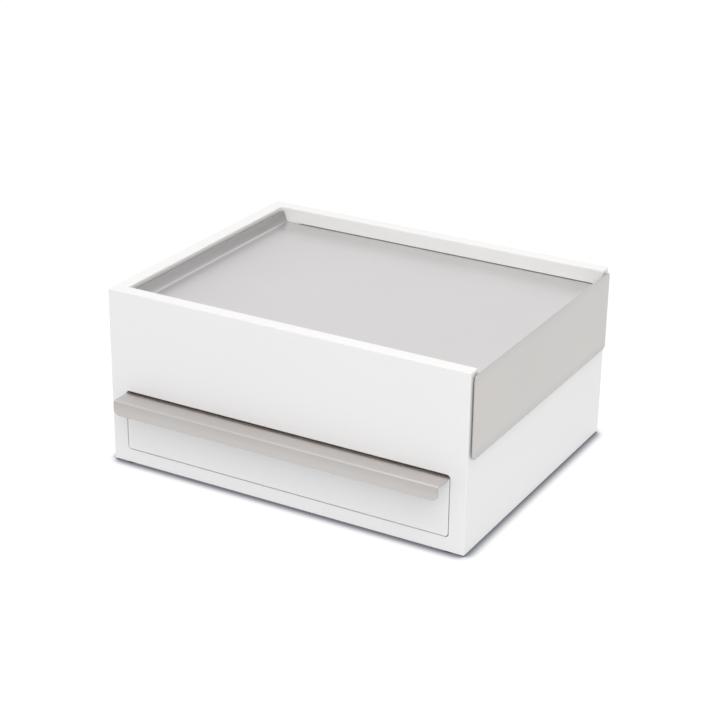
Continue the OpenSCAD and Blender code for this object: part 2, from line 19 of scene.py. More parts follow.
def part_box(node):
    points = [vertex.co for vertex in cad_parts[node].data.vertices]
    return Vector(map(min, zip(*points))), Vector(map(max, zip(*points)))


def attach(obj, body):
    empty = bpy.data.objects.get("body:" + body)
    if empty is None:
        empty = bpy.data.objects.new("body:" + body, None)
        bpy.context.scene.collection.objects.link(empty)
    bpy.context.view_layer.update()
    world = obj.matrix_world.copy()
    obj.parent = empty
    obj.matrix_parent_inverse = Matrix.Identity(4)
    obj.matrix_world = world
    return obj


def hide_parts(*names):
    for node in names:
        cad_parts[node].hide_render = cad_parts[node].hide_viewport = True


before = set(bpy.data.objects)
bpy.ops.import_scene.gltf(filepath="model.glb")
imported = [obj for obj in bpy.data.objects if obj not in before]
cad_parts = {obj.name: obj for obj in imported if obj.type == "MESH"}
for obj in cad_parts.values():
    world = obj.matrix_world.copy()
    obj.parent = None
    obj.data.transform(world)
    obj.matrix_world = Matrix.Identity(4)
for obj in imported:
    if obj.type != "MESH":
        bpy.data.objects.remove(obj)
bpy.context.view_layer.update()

# %% [markdown]
# ## Camera
# A long lens from about a metre and a quarter keeps the edges of a small box
# almost parallel. The camera is placed by the point that it looks at, its
# heading, its height and its distance, as one would set up a tripod, and not
# by a matrix: each number can then be changed alone.

# %% Camera
LOOK_AT = Vector((-0.0012, 0.0050, 0.0639))
HEADING, HEIGHT, ROLL = 29.346, 23.566, 0.741  # degrees
DISTANCE = 1.2577
LENS_MM, SENSOR_MM = 94.57, 36.0

heading, height = math.radians(HEADING), math.radians(HEIGHT)
backwards = Vector((
    math.sin(heading) * math.cos(height),
    -math.cos(heading) * math.cos(height),
    math.sin(height)))
turn = (-backwards).to_track_quat("-Z", "Y") @ Quaternion((0, 0, 1), math.radians(ROLL))

camera = bpy.data.objects.new("camera", bpy.data.cameras.new("camera"))
camera.data.lens, camera.data.sensor_width = LENS_MM, SENSOR_MM
camera.location = LOOK_AT + DISTANCE * backwards
camera.rotation_mode = "QUATERNION"
camera.rotation_quaternion = turn
bpy.context.scene.collection.objects.link(camera)
bpy.context.scene.camera = camera
bpy.context.scene.view_settings.view_transform = "Standard"
print("camera at", [round(c, 3) for c in camera.location])

# %% [markdown]
# ## Two helpers for every material
# Paint makers and web pages give colours as sRGB hex values, and a renderer
# works with linear light, so one function turns the one into the other. The
# other function adds a shader node: its settings are properties of the node or
# values of its sockets, and its links join sockets to other nodes.

# %% Colour and node helpers
def paint(hex_value):
    """An sRGB hex colour as linear red, green, blue and alpha."""
    channels = [int(hex_value[i:i + 2], 16) / 255 for i in (1, 3, 5)]
    return [c / 12.92 if c <= 0.04045 else ((c + 0.055) / 1.055) ** 2.4 for c in channels] + [1]


def add_node(tree, kind, settings=None, links=None):
    """Adds a shader node with its settings and the sockets that feed it."""
    node = tree.nodes.new("ShaderNode" + kind)
    for name, value in (settings or {}).items():
        if isinstance(name, int) or name in node.inputs:
            node.inputs[name].default_value = value
        else:
            setattr(node, name, value)
    for name, socket in (links or {}).items():
        tree.links.new(socket, node.inputs[name])
    return node


print("white paint in linear light:", [round(c, 3) for c in paint("#F2F2F3")])

# %% [markdown]
# ## White studio
# The box stands on a white sheet that runs into a white background. Seen
# directly, or in the metal, the surroundings are simply white. For the light
# that falls on the box the world is a little dimmer than white, which is what
# Light Path is for: it tells a ray that looks from a ray that only carries
# light.

# %% World
AMBIENT = 0.59  # light from all round, where 1 would show a colour as written

world = bpy.data.worlds.new("white_studio")
world.use_nodes = True
bpy.context.scene.world = world
world.node_tree.nodes.clear()


def looking_ray(tree):
    """1 for a ray that sees its surroundings, 0 for one that carries light."""
    path = add_node(tree, "LightPath")
    seen = add_node(tree, "Math", {"operation": "MAXIMUM"}, {
        0: path.outputs["Is Camera Ray"], 1: path.outputs["Is Glossy Ray"]})
    return add_node(tree, "Math", {"operation": "MAXIMUM"}, {
        0: seen.outputs[0], 1: path.outputs["Is Transmission Ray"]}).outputs[0]


soft_light = add_node(world.node_tree, "Background", {"Color": (1, 1, 1, 1), "Strength": AMBIENT})
plain_white = add_node(world.node_tree, "Background", {"Color": (1, 1, 1, 1), "Strength": 1})
sky = add_node(world.node_tree, "MixShader", None, {
    0: looking_ray(world.node_tree), 1: soft_light.outputs[0], 2: plain_white.outputs[0]})
add_node(world.node_tree, "OutputWorld", None, {"Surface": sky.outputs[0]})
print("world light:", AMBIENT)

# %% [markdown]
# ## White floor
# The sheet is lit from above and from below, as on a light table, so only the
# narrow shadow right at the box is left. Ambient occlusion measures how closed
# in a point of the floor is: under the box and just beside it the floor turns
# a dark, cool grey, and a finger's width away it is white. A small share of
# plain diffuse paper keeps the wide soft shadow as well.

# %% Floor
FLOOR_REACH = 6.0  # half its width, in metres
CONTACT_REACH = 0.0100  # how far the dark line at the box spreads
PAPER_SHARE = 0.10  # how much of the wide soft shadow shows
GLOW_SHARE = 0.95  # how much of the sheet's light on the box comes from below it
CLOSED_IN, IN_THE_OPEN = 0.44, 0.95  # ambient occlusion at the box, and away from it
DARKEST, WHITEST = 0.13, 1.06  # light there; above 1, so that no grey rim is left

paper = bpy.data.materials.new("white_paper_sweep")
paper.use_nodes = True
tree = paper.node_tree
tree.nodes.clear()
closed_in = add_node(tree, "AmbientOcclusion", {"samples": 16, "Distance": CONTACT_REACH})
contact = add_node(tree, "MapRange", {
    "interpolation_type": "SMOOTHSTEP", "From Min": CLOSED_IN, "From Max": IN_THE_OPEN,
    "To Min": DARKEST, "To Max": WHITEST}, {"Value": closed_in.outputs["AO"]})
cool = add_node(tree, "Mix", {"data_type": "RGBA", 6: paint("#EDF1FF"), 7: paint("#FFFFFF")},
                {0: contact.outputs[0]})
bright = add_node(tree, "Emission", None, {
    "Color": cool.outputs[2], "Strength": contact.outputs[0]})
sheet = add_node(tree, "BsdfDiffuse", {"Color": paint("#F1F2F5")})
glow = add_node(tree, "Emission", {"Color": paint("#FAFBFF"), "Strength": 1})
shown = add_node(tree, "MixShader", {0: PAPER_SHARE}, {1: bright.outputs[0], 2: sheet.outputs[0]})
lighting = add_node(tree, "MixShader", {0: GLOW_SHARE}, {1: sheet.outputs[0], 2: glow.outputs[0]})
floor_look = add_node(tree, "MixShader", None, {
    0: looking_ray(tree), 1: lighting.outputs[0], 2: shown.outputs[0]})
add_node(tree, "OutputMaterial", None, {"Surface": floor_look.outputs[0]})

mesh = bmesh.new()
bmesh.ops.create_grid(mesh, x_segments=8, y_segments=8, size=FLOOR_REACH)
floor = bpy.data.objects.new("floor", bpy.data.meshes.new("floor"))
mesh.to_mesh(floor.data)
mesh.free()
floor.data.materials.append(paper)
bpy.context.scene.collection.objects.link(floor)
print("floor:", 2 * FLOOR_REACH, "m wide")

# %% [markdown]
# ## Lamps
# Three large soft boxes do the modelling. The key stands at the right of the
# camera and lights the front and the right side alike. The one overhead makes
# the tops of the walls a little brighter than their faces. The one high in
# front shines steeply onto the lid, whose metal throws its light on to the
# inside of the back wall. A large lamp gives soft shadows, so none of them
# needs a fine position. From above, the lid would mirror the overhead lamp as
# one white glare, so that lamp stays out of the reflections, as one hides a
# lamp with a flag in a studio.

# %% Lamps
LAMPS = {  # name: (place, width in metres, watts)
    "key_softbox": (Vector((0.8, -1.0, 1.3)), 1.2, 7.1),
    "overhead_softbox": (Vector((-0.2, 0.1, 1.7)), 1.4, 4.6),
    "high_front_softbox": (Vector((0.2, -0.5, 1.6)), 1.2, 6.0),
}
FLAGGED = "overhead_softbox"  # the lamp that metal doesn't mirror
for name, (place, width, watts) in LAMPS.items():
    lamp = bpy.data.objects.new(name, bpy.data.lights.new(name, "AREA"))
    lamp.data.shape, lamp.data.size, lamp.data.energy = "SQUARE", width, watts
    lamp.location = place
    lamp.rotation_mode = "QUATERNION"
    lamp.rotation_quaternion = (LOOK_AT - place).to_track_quat("-Z", "Y")
    lamp.visible_glossy = name != FLAGGED
    bpy.context.scene.collection.objects.link(lamp)
    print(name, watts, "W")

# %% [markdown]
# ## Satin white lacquer
# The case is fibreboard, sprayed with white polyurethane lacquer, rubbed down
# and sprayed again. Such a surface is even, not quite glossy, and shows a very
# faint orange peel from the spray gun. Its IOR is that of most clear
# resins, 1.5. Noise of about 2.5 mm gives the orange peel, and a broad noise
# makes the white a touch uneven, as a hand-sprayed coat is.

# %% Material: satin white lacquer
PEEL_FINENESS = 400.0  # waves of orange peel to the metre, 2.5 mm each
CLOUD_FINENESS = 11.0  # broad uneven places to the metre


def new_material(name, roughness, metallic=0.0, ior=1.5):
    """A material with its shader set, and the piece's own coordinates in metres."""
    material = bpy.data.materials.new(name)
    material.use_nodes = True
    shader = material.node_tree.nodes["Principled BSDF"]
    shader.inputs["Roughness"].default_value = roughness
    shader.inputs["Metallic"].default_value = metallic
    shader.inputs["IOR"].default_value = ior
    place = add_node(material.node_tree, "TexCoord").outputs["Object"]
    return material, material.node_tree, shader, place


lacquer, tree, shader, place = new_material("satin_white_lacquer", roughness=0.38)
cloud = add_node(tree, "TexNoise", {"Scale": CLOUD_FINENESS, "Detail": 2.0}, {"Vector": place})
white = add_node(tree, "Mix", {"data_type": "RGBA", 6: paint("#F1F0EF"), 7: paint("#F4F3F2")},
                 {0: cloud.outputs[0]})
gloss = add_node(tree, "MapRange", {"To Min": 0.35, "To Max": 0.42}, {"Value": cloud.outputs[0]})
peel = add_node(tree, "TexNoise", {"Scale": PEEL_FINENESS, "Detail": 1.0}, {"Vector": place})
relief = add_node(tree, "Bump", {"Strength": 0.35, "Distance": 0.00002},
                  {"Height": peel.outputs[0]})
tree.links.new(white.outputs[2], shader.inputs["Base Color"])
tree.links.new(gloss.outputs[0], shader.inputs["Roughness"])
tree.links.new(relief.outputs[0], shader.inputs["Normal"])
print("material:", lacquer.name)

# %% [markdown]
# ## From outlines to boards
# A joiner cuts boards from outlines, and so do these helpers: an outline is a
# list of points, and prism() makes it solid along an axis. One could start from
# Blender's cubes, but an outline also takes round corners and notches.
# as_piece() turns the mesh into an object, gives it its material, hides the CAD
# parts that it stands for and hangs it on the moving part that carries it.

# %% Outline helpers
MM = 0.001
ARC_STEPS = 8  # faces in a quarter turn


def at(axis, u, v, w):
    """The point with u and v across an axis and w along it."""
    point = [u, v]
    point.insert(axis, w)
    return Vector(point)


def rounded(u0, v0, u1, v1, radii=(0, 0, 0, 0)):
    """An outline with round corners, given from the lower left one anticlockwise."""
    corners = [(u0, v0, 1, 1), (u1, v0, -1, 1), (u1, v1, -1, -1), (u0, v1, 1, -1)]
    points = []
    for quarter, ((u, v, to_u, to_v), r) in enumerate(zip(corners, radii)):
        for step in range(ARC_STEPS + 1 if r else 1):
            angle = math.pi + (quarter + step / ARC_STEPS) * math.pi / 2
            points.append((u + r * (to_u + math.cos(angle)), v + r * (to_v + math.sin(angle))))
    return points


def prism(mesh, outline, axis, low, high):
    """Adds the closed solid that an outline leaves from low to high along an axis."""
    ends = [[mesh.verts.new(at(axis, u, v, w)) for u, v in outline] for w in (low, high)]
    mesh.faces.new(ends[0])
    mesh.faces.new(ends[1])
    for i in range(len(outline)):
        mesh.faces.new((ends[0][i - 1], ends[0][i], ends[1][i], ends[1][i - 1]))


def as_piece(name, mesh, material, body, slot, *nodes):
    """Makes a mesh a piece that stands for CAD nodes and moves with a body."""
    bmesh.ops.recalc_face_normals(mesh, faces=mesh.faces)
    piece = bpy.data.objects.new(name, bpy.data.meshes.new(name))
    mesh.to_mesh(piece.data)
    mesh.free()
    piece.data.materials.append(material)
    bpy.context.scene.collection.objects.link(piece)
    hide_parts(*nodes)
    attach(piece, body)
    return piece


print("quarter turns have", ARC_STEPS, "faces")

# %% [markdown]
# ## Cutting and easing
# A cut takes one solid out of another, as a router does. It is made with the
# Boolean modifier and applied at once, so that the next cut starts from a clean
# mesh. Real edges are never razor sharp: sanding and lacquer leave a radius of
# half a millimetre or more, and that is what catches the light. A Bevel
# modifier does this on every sharp edge at once.

# %% Cutting and easing helpers
def settle(piece):
    """Applies the modifiers of a piece to its mesh."""
    ready = piece.evaluated_get(bpy.context.evaluated_depsgraph_get())
    old, piece.data = piece.data, bpy.data.meshes.new_from_object(ready)
    piece.modifiers.clear()
    piece.data.name = piece.name
    bpy.data.meshes.remove(old)


def cut(piece, outline, axis, low, high):
    """Takes the solid of an outline out of a piece."""
    mesh = bmesh.new()
    prism(mesh, outline, axis, low, high)
    bmesh.ops.recalc_face_normals(mesh, faces=mesh.faces)
    tool = bpy.data.objects.new("tool", bpy.data.meshes.new("tool"))
    mesh.to_mesh(tool.data)
    mesh.free()
    bpy.context.scene.collection.objects.link(tool)
    boolean = piece.modifiers.new("cut", "BOOLEAN")
    boolean.operation, boolean.solver, boolean.object = "DIFFERENCE", "EXACT", tool
    settle(piece)
    bpy.data.objects.remove(tool)


SHARP = math.radians(35)  # an edge that turns by more is a sharp one


def ease_edges(piece, radius, steps=3, chosen=None):
    """Rounds all sharp edges, or the chosen ones, and shades smooth between them."""
    piece.data.shade_smooth()
    bevel = piece.modifiers.new("eased_edges", "BEVEL")
    bevel.width, bevel.segments = radius, steps
    bevel.limit_method, bevel.angle_limit = "ANGLE", SHARP
    bevel.harden_normals = True
    if chosen:
        mesh = bmesh.new()
        mesh.from_mesh(piece.data)
        weight = mesh.edges.layers.float.new("bevel_weight_edge")
        for edge in mesh.edges:
            edge[weight] = float(all(chosen(v.co) for v in edge.verts))
            edge.smooth = bool(edge[weight]) or edge.calc_face_angle(0) < SHARP
        mesh.to_mesh(piece.data)
        mesh.free()
        bevel.limit_method, bevel.harden_normals = "WEIGHT", False
        piece.modifiers.new("flat_boards", "WEIGHTED_NORMAL").keep_sharp = True
    return piece


def whole(low, high, axis=2):
    """The outline of a box across an axis, the axis, and the box's ends along it."""
    u, v = [i for i in range(3) if i != axis]
    return rounded(low[u], low[v], high[u], high[v]), axis, low[axis], high[axis]


low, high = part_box("base_board")
print("case boards:", round((high.z - low.z) / MM, 1), "mm thick")

# %% [markdown]
# ## The case
# The real case is glued from five boards, filled at the joints and lacquered in
# one go, so no joint shows. Five bevelled boards would show a groove at every
# joint. The case is therefore one solid block here, from which the inside, the
# drawer opening, the lid's grooves and the housing of the shelf are cut. First
# come the sizes of those cuts, most of them read from the CAD boards.

# %% The case: sizes
CUT_OVER = 2 * MM  # how far a cut runs past the face that it opens
BOARD_EDGE, CUT_EDGE = 0.7 * MM, 0.3 * MM  # radii of the boards and of the drawer opening
TOUCH = 0.01 * MM  # points nearer than this are in one plane
BAY_CORNER = 2.5 * MM
BAY_STEP = 1.5 * MM  # from the drawer opening to the end boards
RUN_GAP = 0.1 * MM  # under the lid, above its felt
SHEET_T = 1.0 * MM  # the lid's sheet
GROOVE_LIFT = 0.4 * MM  # above the lid in its grooves
GROOVE_PLAY = 0.5 * MM  # beside it and at its left end

front, back, left, right, base, shelf, tray, felt = [
    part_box(n) for n in ("front_board", "back_board", "left_board", "right_board", "base_board",
                        "shelf", "lid_tray", "lid_felt_strips")]
inner = Vector((left[1].x, front[1].y, base[1].z)), Vector((right[0].x, back[0].y, back[1].z))
lid_top = felt[1].z + RUN_GAP + SHEET_T
past_end = back[1].x + CUT_OVER
print("room inside:", [round(v / MM, 1) for v in inner[1] - inner[0]], "mm")

# %% [markdown]
# ## The case, cut from a block
# The edges are eased after the first cuts, while they are all long and far
# apart: a Bevel is only as wide as the narrowest place on the piece lets it be.
# Of the later cuts, only the edge round the drawer opening is eased.

# %% The case
mesh = bmesh.new()
prism(mesh, *whole(front[0], back[1]))
case = as_piece("case", mesh, lacquer, "case", "white_lacquer",
                "front_board", "back_board", "left_board", "right_board", "base_board")
cut(case, *whole(inner[0], inner[1] + Vector((0, 0, CUT_OVER))))
cut(case, *whole(Vector((inner[1].x - CUT_OVER, inner[0].y, right[1].z)),
                 Vector((past_end, inner[1].y, inner[1].z + CUT_OVER))))
ease_edges(case, BOARD_EDGE)
settle(case)
cut(case, *whole(Vector((felt[0].x - GROOVE_PLAY, tray[0].y - GROOVE_PLAY, right[1].z)),
                 Vector((past_end, tray[1].y + GROOVE_PLAY, lid_top + GROOVE_LIFT))))
cut(case, *whole(*shelf))
cut(case, rounded(inner[0].x + BAY_STEP, base[1].z, inner[1].x - BAY_STEP, shelf[0].z,
                  [BAY_CORNER] * 4), 1, front[0].y - CUT_OVER, front[1].y + CUT_OVER)


def round_opening(point):
    """Whether a point lies on the outer edge of the drawer opening."""
    return (point.y < front[0].y + TOUCH and inner[0].x < point.x < inner[1].x
            and base[1].z - TOUCH < point.z < shelf[0].z + TOUCH)


ease_edges(case, CUT_EDGE, chosen=round_opening)
print("case:", len(case.data.polygons), "faces before the opening is eased")

# %% [markdown]
# ## Satin nickel on sheet steel
# The lid and the handle are steel sheet, brushed with fine abrasive and plated
# with nickel. Nickel is a slightly warm grey. The brushing spreads reflections
# far enough that no image of the room is left, only a soft sheen. Real
# scratches from a 180 grit belt are about 0.1 mm wide; they are drawn some five
# times as wide, and long, by squeezing the coordinates of a noise across the
# grain. The noise changes the roughness, the tone and the height a little.
#
# A bent sheet is not equally bright all over, since each face mirrors other
# surroundings, and part of that is painted into the tone here: painted shade
# on the lip and in the corners, and painted highlight where a face should
# mirror more light. One function changes the tone over one stretch of the
# piece and fades out softly, and each piece has a short list of such places.
# One could paint a mask by hand, but a place and a share are easier to read
# and to change.

# %% Material: satin nickel
GRAIN_WIDTH, GRAIN_LENGTH = 0.0005, 0.045  # metres, coarser than real
UNEVEN_FINENESS = 14.0  # broad uneven places to the metre
UNEVEN_SHARE = 0.45  # how much of the tone comes from them, and not from the grain


def painted_light_fade(tree, place, tone, axis, start, end, share):
    """Painted light or shade: a tone with a share of it at the start of a stretch along an axis,
    all at its end.
    """
    across = add_node(tree, "SeparateXYZ", None, {0: place})
    fade = add_node(tree, "MapRange", {
        "interpolation_type": "SMOOTHSTEP", "From Min": start, "From Max": end,
        "To Min": share, "To Max": 1.0}, {"Value": across.outputs[axis]})
    return add_node(tree, "Mix", {"data_type": "RGBA", "blend_type": "MULTIPLY", 0: 1.0},
                    {6: tone, 7: fade.outputs[0]}).outputs[2]


def satin_nickel(name, grain_axis, dark, light, places):
    """Brushed and plated steel with its grain along one axis, between two tones."""
    material, tree, shader, place = new_material(name, roughness=0.31, metallic=1.0)
    squeeze = [1 / GRAIN_WIDTH] * 3
    squeeze[grain_axis] = 1 / GRAIN_LENGTH
    along = add_node(tree, "Mapping", {"Scale": squeeze}, {"Vector": place})
    grain = add_node(tree, "TexNoise", {"Scale": 1.0, "Detail": 3.0, "Roughness": 0.6},
                     {"Vector": along.outputs[0]})
    cloud = add_node(tree, "TexNoise", {"Scale": UNEVEN_FINENESS, "Detail": 2.0},
                     {"Vector": place})
    both = add_node(tree, "Mix", {0: UNEVEN_SHARE}, {2: grain.outputs[0], 3: cloud.outputs[0]})
    tone = add_node(tree, "Mix", {"data_type": "RGBA", 6: paint(dark), 7: paint(light)},
                    {0: both.outputs[0]}).outputs[2]
    # painted shade and highlight, one stretch after the other
    for stretch in places:
        tone = painted_light_fade(tree, place, tone, *stretch)
    gloss = add_node(tree, "MapRange", {"To Min": 0.26, "To Max": 0.36}, {"Value": both.outputs[0]})
    relief = add_node(tree, "Bump", {"Strength": 0.25, "Distance": 0.00001},
                      {"Height": grain.outputs[0]})
    tree.links.new(tone, shader.inputs["Base Color"])
    tree.links.new(gloss.outputs[0], shader.inputs["Roughness"])
    tree.links.new(relief.outputs[0], shader.inputs["Normal"])
    return material


LIP_TO_FELT = 10.5 * MM  # from the foot of the lid's lip to the felt strip
lip_foot = felt[0].x - LIP_TO_FELT
pull_low, pull_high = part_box("lid_pull_plate")
grip_low, grip_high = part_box("drawer_handle")
lid_nickel = satin_nickel("satin_nickel_lid", 0, "#CFCDCD", "#DDDBDB", [
    (0, lip_foot - 2 * MM, lip_foot + 1 * MM, 0.59),  # painted shade on the lip, for the dark surroundings that it mirrors
    (0, lip_foot, lip_foot + 16 * MM, 1.12),  # painted highlight on the plate along the lip
    (0, lip_foot, lip_foot + 100 * MM, 0.955)])  # painted shade on the plate in the corner by the lip
# The pull plate's tones are darker than the lid's, though it is cut from the same sheet: painted
# shade, for the darker surroundings that the upright plate mirrors.
pull_nickel = satin_nickel("satin_nickel_pull_plate", 1, "#BFBCBA", "#CCC9C6", [
    (2, pull_low.z, pull_low.z + 7 * MM, 0.92),  # painted shade at the lower edge
    (2, pull_high.z, pull_high.z - 7 * MM, 0.95)])  # painted shade at the upper edge too
handle_nickel = satin_nickel("satin_nickel_handle", 0, "#CDC9C6", "#DCD8D5", [
    (2, grip_high.z - 0.9 * MM, grip_high.z, 0.76),  # painted shade below the bend, on the flange; it also dims the bend's highlight
    (2, grip_high.z - 7 * MM, grip_high.z - 1.5 * MM, 1.10),  # painted highlight at the flange's foot
    (0, grip_low.x, grip_low.x + 160 * MM, 0.97)])  # painted shade towards the left end
print("materials:", lid_nickel.name, pull_nickel.name, handle_nickel.name)

# %% [markdown]
# ## Folding sheet metal
# Sheet parts are cut flat and folded, so their thickness is the same all over
# and their bends are parts of a ring. The surest way to get that is to draw the
# middle of the sheet as rows of points, row after row round the bends, and let
# the Solidify modifier give it its thickness on both sides. Where a row has no
# point, the sheet has a notch.

# %% Folding helpers
def fold(mesh, rows):
    """Adds the middle surface of a sheet from its rows of points; None leaves a notch."""
    rows = [[p if p is None else mesh.verts.new(p) for p in row] for row in rows]
    for near, far in zip(rows, rows[1:]):
        for i in range(len(near) - 1):
            face = (near[i], near[i + 1], far[i + 1], far[i])
            if None not in face:
                mesh.faces.new(face)


def arc(u, v, r, start, stop):
    """Points on a bend round a centre, from one angle to another in degrees."""
    angles = [math.radians(start + (stop - start) * i / ARC_STEPS) for i in range(ARC_STEPS + 1)]
    return [(u + r * math.cos(a), v + r * math.sin(a)) for a in angles]


def thicken(piece, thickness):
    """Gives a folded sheet its thickness, half on each side."""
    solid = piece.modifiers.new("sheet", "SOLIDIFY")
    solid.thickness, solid.offset, solid.use_even_offset = thickness, 0, True
    settle(piece)


print("sheet of the lid:", SHEET_T / MM, "mm")

# %% [markdown]
# ## The lid
# One sheet: a flat plate that runs in the grooves of the case, a lip bent up at
# its left end and an upstand at its right end, which carries the pull plate.
# The lip isn't bent quite square, so it leans towards the wall. The plate is
# wider than its bent ends, because only the plate enters the grooves. Its wide
# part ends where the upstand's bend begins: a kink there would be passed on to
# the thickness of the whole sheet.

# %% Lid tray
LID_BEND = 1.6 * MM  # inside radius
LIP_LEAN = math.asin(0.28)  # it leans by 0.28 mm for each millimetre of its length
LIP_GAP = 0.6 * MM  # between the bent ends and the front and back boards
UPSTAND_DROP = 0.6 * MM  # below the top of the pull plate

middle = LID_BEND + SHEET_T / 2  # bend radius of the sheet's middle
bend_out = LID_BEND + SHEET_T
plate_mid, bend_z = lid_top - SHEET_T / 2, lid_top - SHEET_T + bend_out
lip_length = (tray[1].z - bend_z + LID_BEND * math.sin(LIP_LEAN)) / math.cos(LIP_LEAN)
lip_x = tray[0].x + bend_out * math.cos(LIP_LEAN) + lip_length * math.sin(LIP_LEAN)
upstand_x = tray[1].x - bend_out
upstand_top = pull_high.z - UPSTAND_DROP
wide = tray[0].y, tray[1].y
narrow = inner[0].y + LIP_GAP, inner[1].y - LIP_GAP

lip = arc(lip_x, bend_z, middle, 180 + math.degrees(LIP_LEAN), 270)
lip.insert(0, (lip[0][0] - lip_length * math.sin(LIP_LEAN),
               lip[0][1] + lip_length * math.cos(LIP_LEAN)))
upstand = arc(upstand_x, bend_z, middle, 270, 360)[1:] + [(tray[1].x - SHEET_T / 2, upstand_top)]
rows = [[None, *[Vector((x, y, z)) for y in narrow], None] for x, z in lip]
rows += [[Vector((x, y, plate_mid)) for y in (wide[0], *narrow, wide[1])]
         for x in (felt[0].x, upstand_x)]
rows += [[None, *[Vector((x, y, z)) for y in narrow], None] for x, z in upstand]
mesh = bmesh.new()
fold(mesh, rows)
lid = as_piece("lid", mesh, lid_nickel, "lid", "satin_nickel", "lid_tray")
thicken(lid, SHEET_T)
print("lid plate:", [round((b - a) / MM, 1) for a, b in ((lip_x, upstand_x), wide)], "mm")

# %% [markdown]
# ## The lid's ears
# The first stretch of each of the plate's wider sides is bent down as an ear,
# which stops the lid when it is open. The ears could be more rows of the folded
# sheet, but they turn about another axis, so two flat solids are added to the
# thickened sheet instead. After that its edges are broken, since a cut sheet
# would be sharp.

# %% Lid ears
EAR = Vector((8, 0, 5)) * MM
EAR_CORNER = 1.5 * MM
LID_EDGE = 0.15 * MM

mesh = bmesh.new()
mesh.from_mesh(lid.data)
for y in (narrow[0], narrow[1] - SHEET_T):
    ear = rounded(felt[0].x - EAR.x, tray[0].z, felt[0].x, tray[0].z + EAR.z,
                  (EAR_CORNER, EAR_CORNER, 0, 0))
    prism(mesh, ear, 1, y, y + SHEET_T)
bmesh.ops.recalc_face_normals(mesh, faces=mesh.faces)
mesh.to_mesh(lid.data)
mesh.free()
ease_edges(lid, LID_EDGE, 2)
print("ears:", [round(v / MM, 1) for v in (EAR.x, SHEET_T, EAR.z)], "mm")

# %% [markdown]
# ## The pull plate
# A flat plate welded to the upstand hides the ends of the grooves, and it is
# what the hand takes hold of. Its corners are rounded and its edges broken, so
# that it doesn't cut. It is stamped from the same sheet, with the grain running
# from front to back.

# %% Pull plate
PULL_CORNER, PULL_EDGE = 3 * MM, 0.2 * MM

mesh = bmesh.new()
prism(mesh, rounded(pull_low.y, pull_low.z, pull_high.y, pull_high.z, [PULL_CORNER] * 4), 0,
      pull_low.x, pull_high.x)
pull = as_piece("pull_plate", mesh, pull_nickel, "lid", "satin_nickel", "lid_pull_plate")
ease_edges(pull, PULL_EDGE, 2)
print("pull plate:", [round(v / MM, 1) for v in pull_high - pull_low], "mm")

# %% [markdown]
# ## The handle
# The handle is a strip as wide as the drawer, folded twice: a flange to pull at
# the front, a plate that lies on the drawer front, and a leg that is screwed to
# its back. The lower corners of the flange are round, which gives the rows
# there their varying width. The leg is narrower, because it stands between the
# drawer's sides.

# %% Handle
HANDLE_T = 1.2 * MM
HANDLE_BEND = 0.8 * MM  # inside radius
FLANGE_H = 9.9 * MM
FLANGE_CORNER = 4 * MM
LEG_PLAY = 0.6 * MM  # between the leg and the drawer's sides
SIDE_DROP = 1.7 * MM  # the sides end this far under the drawer front's top

low, high = grip_low, grip_high
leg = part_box("drawer_left_side")[1].x + LEG_PLAY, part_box("drawer_right_side")[0].x - LEG_PLAY
bend_out, middle = HANDLE_BEND + HANDLE_T, HANDLE_BEND + HANDLE_T / 2
bend_z = high.z - bend_out
flange_foot = high.z - FLANGE_H


def flange_row(y, z):
    """A row across the strip, pulled in where the flange's corner is round."""
    into = max(0.0, FLANGE_CORNER - (z - flange_foot))
    inset = FLANGE_CORNER - math.sqrt(FLANGE_CORNER ** 2 - into ** 2)
    return [Vector((x, y, z)) for x in (low.x + inset, *leg, high.x - inset)]


corner_heights = [FLANGE_CORNER * (1 - math.cos(math.pi / 2 * i / ARC_STEPS))
                  for i in range(ARC_STEPS + 1)]
side = [(low.y + HANDLE_T / 2, flange_foot + h) for h in corner_heights]
side += arc(low.y + bend_out, bend_z, middle, 180, 90)
side += arc(high.y - bend_out, bend_z, middle, 90, 0)
rows = [flange_row(y, z) for y, z in side]
leg_y, step_z = high.y - HANDLE_T / 2, high.z - HANDLE_T - SIDE_DROP / 2
rows.append(flange_row(leg_y, step_z))
rows.append([None, Vector((leg[0], leg_y, low.z)), Vector((leg[1], leg_y, low.z)), None])
mesh = bmesh.new()
fold(mesh, rows)
handle = as_piece("handle", mesh, handle_nickel, "drawer", "satin_nickel", "drawer_handle")
thicken(handle, HANDLE_T)
print("handle:", [round(v / MM, 1) for v in high - low], "mm")

# %% [markdown]
# ## The handle's screw holes
# Three screws hold the leg to the back of the drawer front. Their holes are
# punched before the strip is folded, but a cut through the folded strip gives
# the same holes and keeps the rows of the fold simple.

# %% Handle: screw holes
SCREW_HOLE = 1.6 * MM  # radius
SCREW_INSET = 32 * MM
NEARLY_ROUND = 0.999  # of the radius, so that no two quarter turns share a point
HANDLE_EDGE = 0.2 * MM

screw_z = (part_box("handle_screws")[0].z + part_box("handle_screws")[1].z) / 2
for x in (leg[0] + SCREW_INSET, (leg[0] + leg[1]) / 2, leg[1] - SCREW_INSET):
    hole = rounded(x - SCREW_HOLE, screw_z - SCREW_HOLE, x + SCREW_HOLE, screw_z + SCREW_HOLE,
                   [SCREW_HOLE * NEARLY_ROUND] * 4)
    cut(handle, hole, 1, high.y - HANDLE_T - CUT_OVER, high.y + CUT_OVER)
ease_edges(handle, HANDLE_EDGE, 2)
print("handle holes at", round(screw_z / MM, 1), "mm above the floor")

# %% [markdown]
# ## The drawer
# A box of five thin boards. Its front has the lower corners of the opening that
# it closes, and its edges are rounded enough for the handle's bend to lie
# against it. The grooves that hold the bottom are cut like the rest of the
# joinery, although they show only from below.

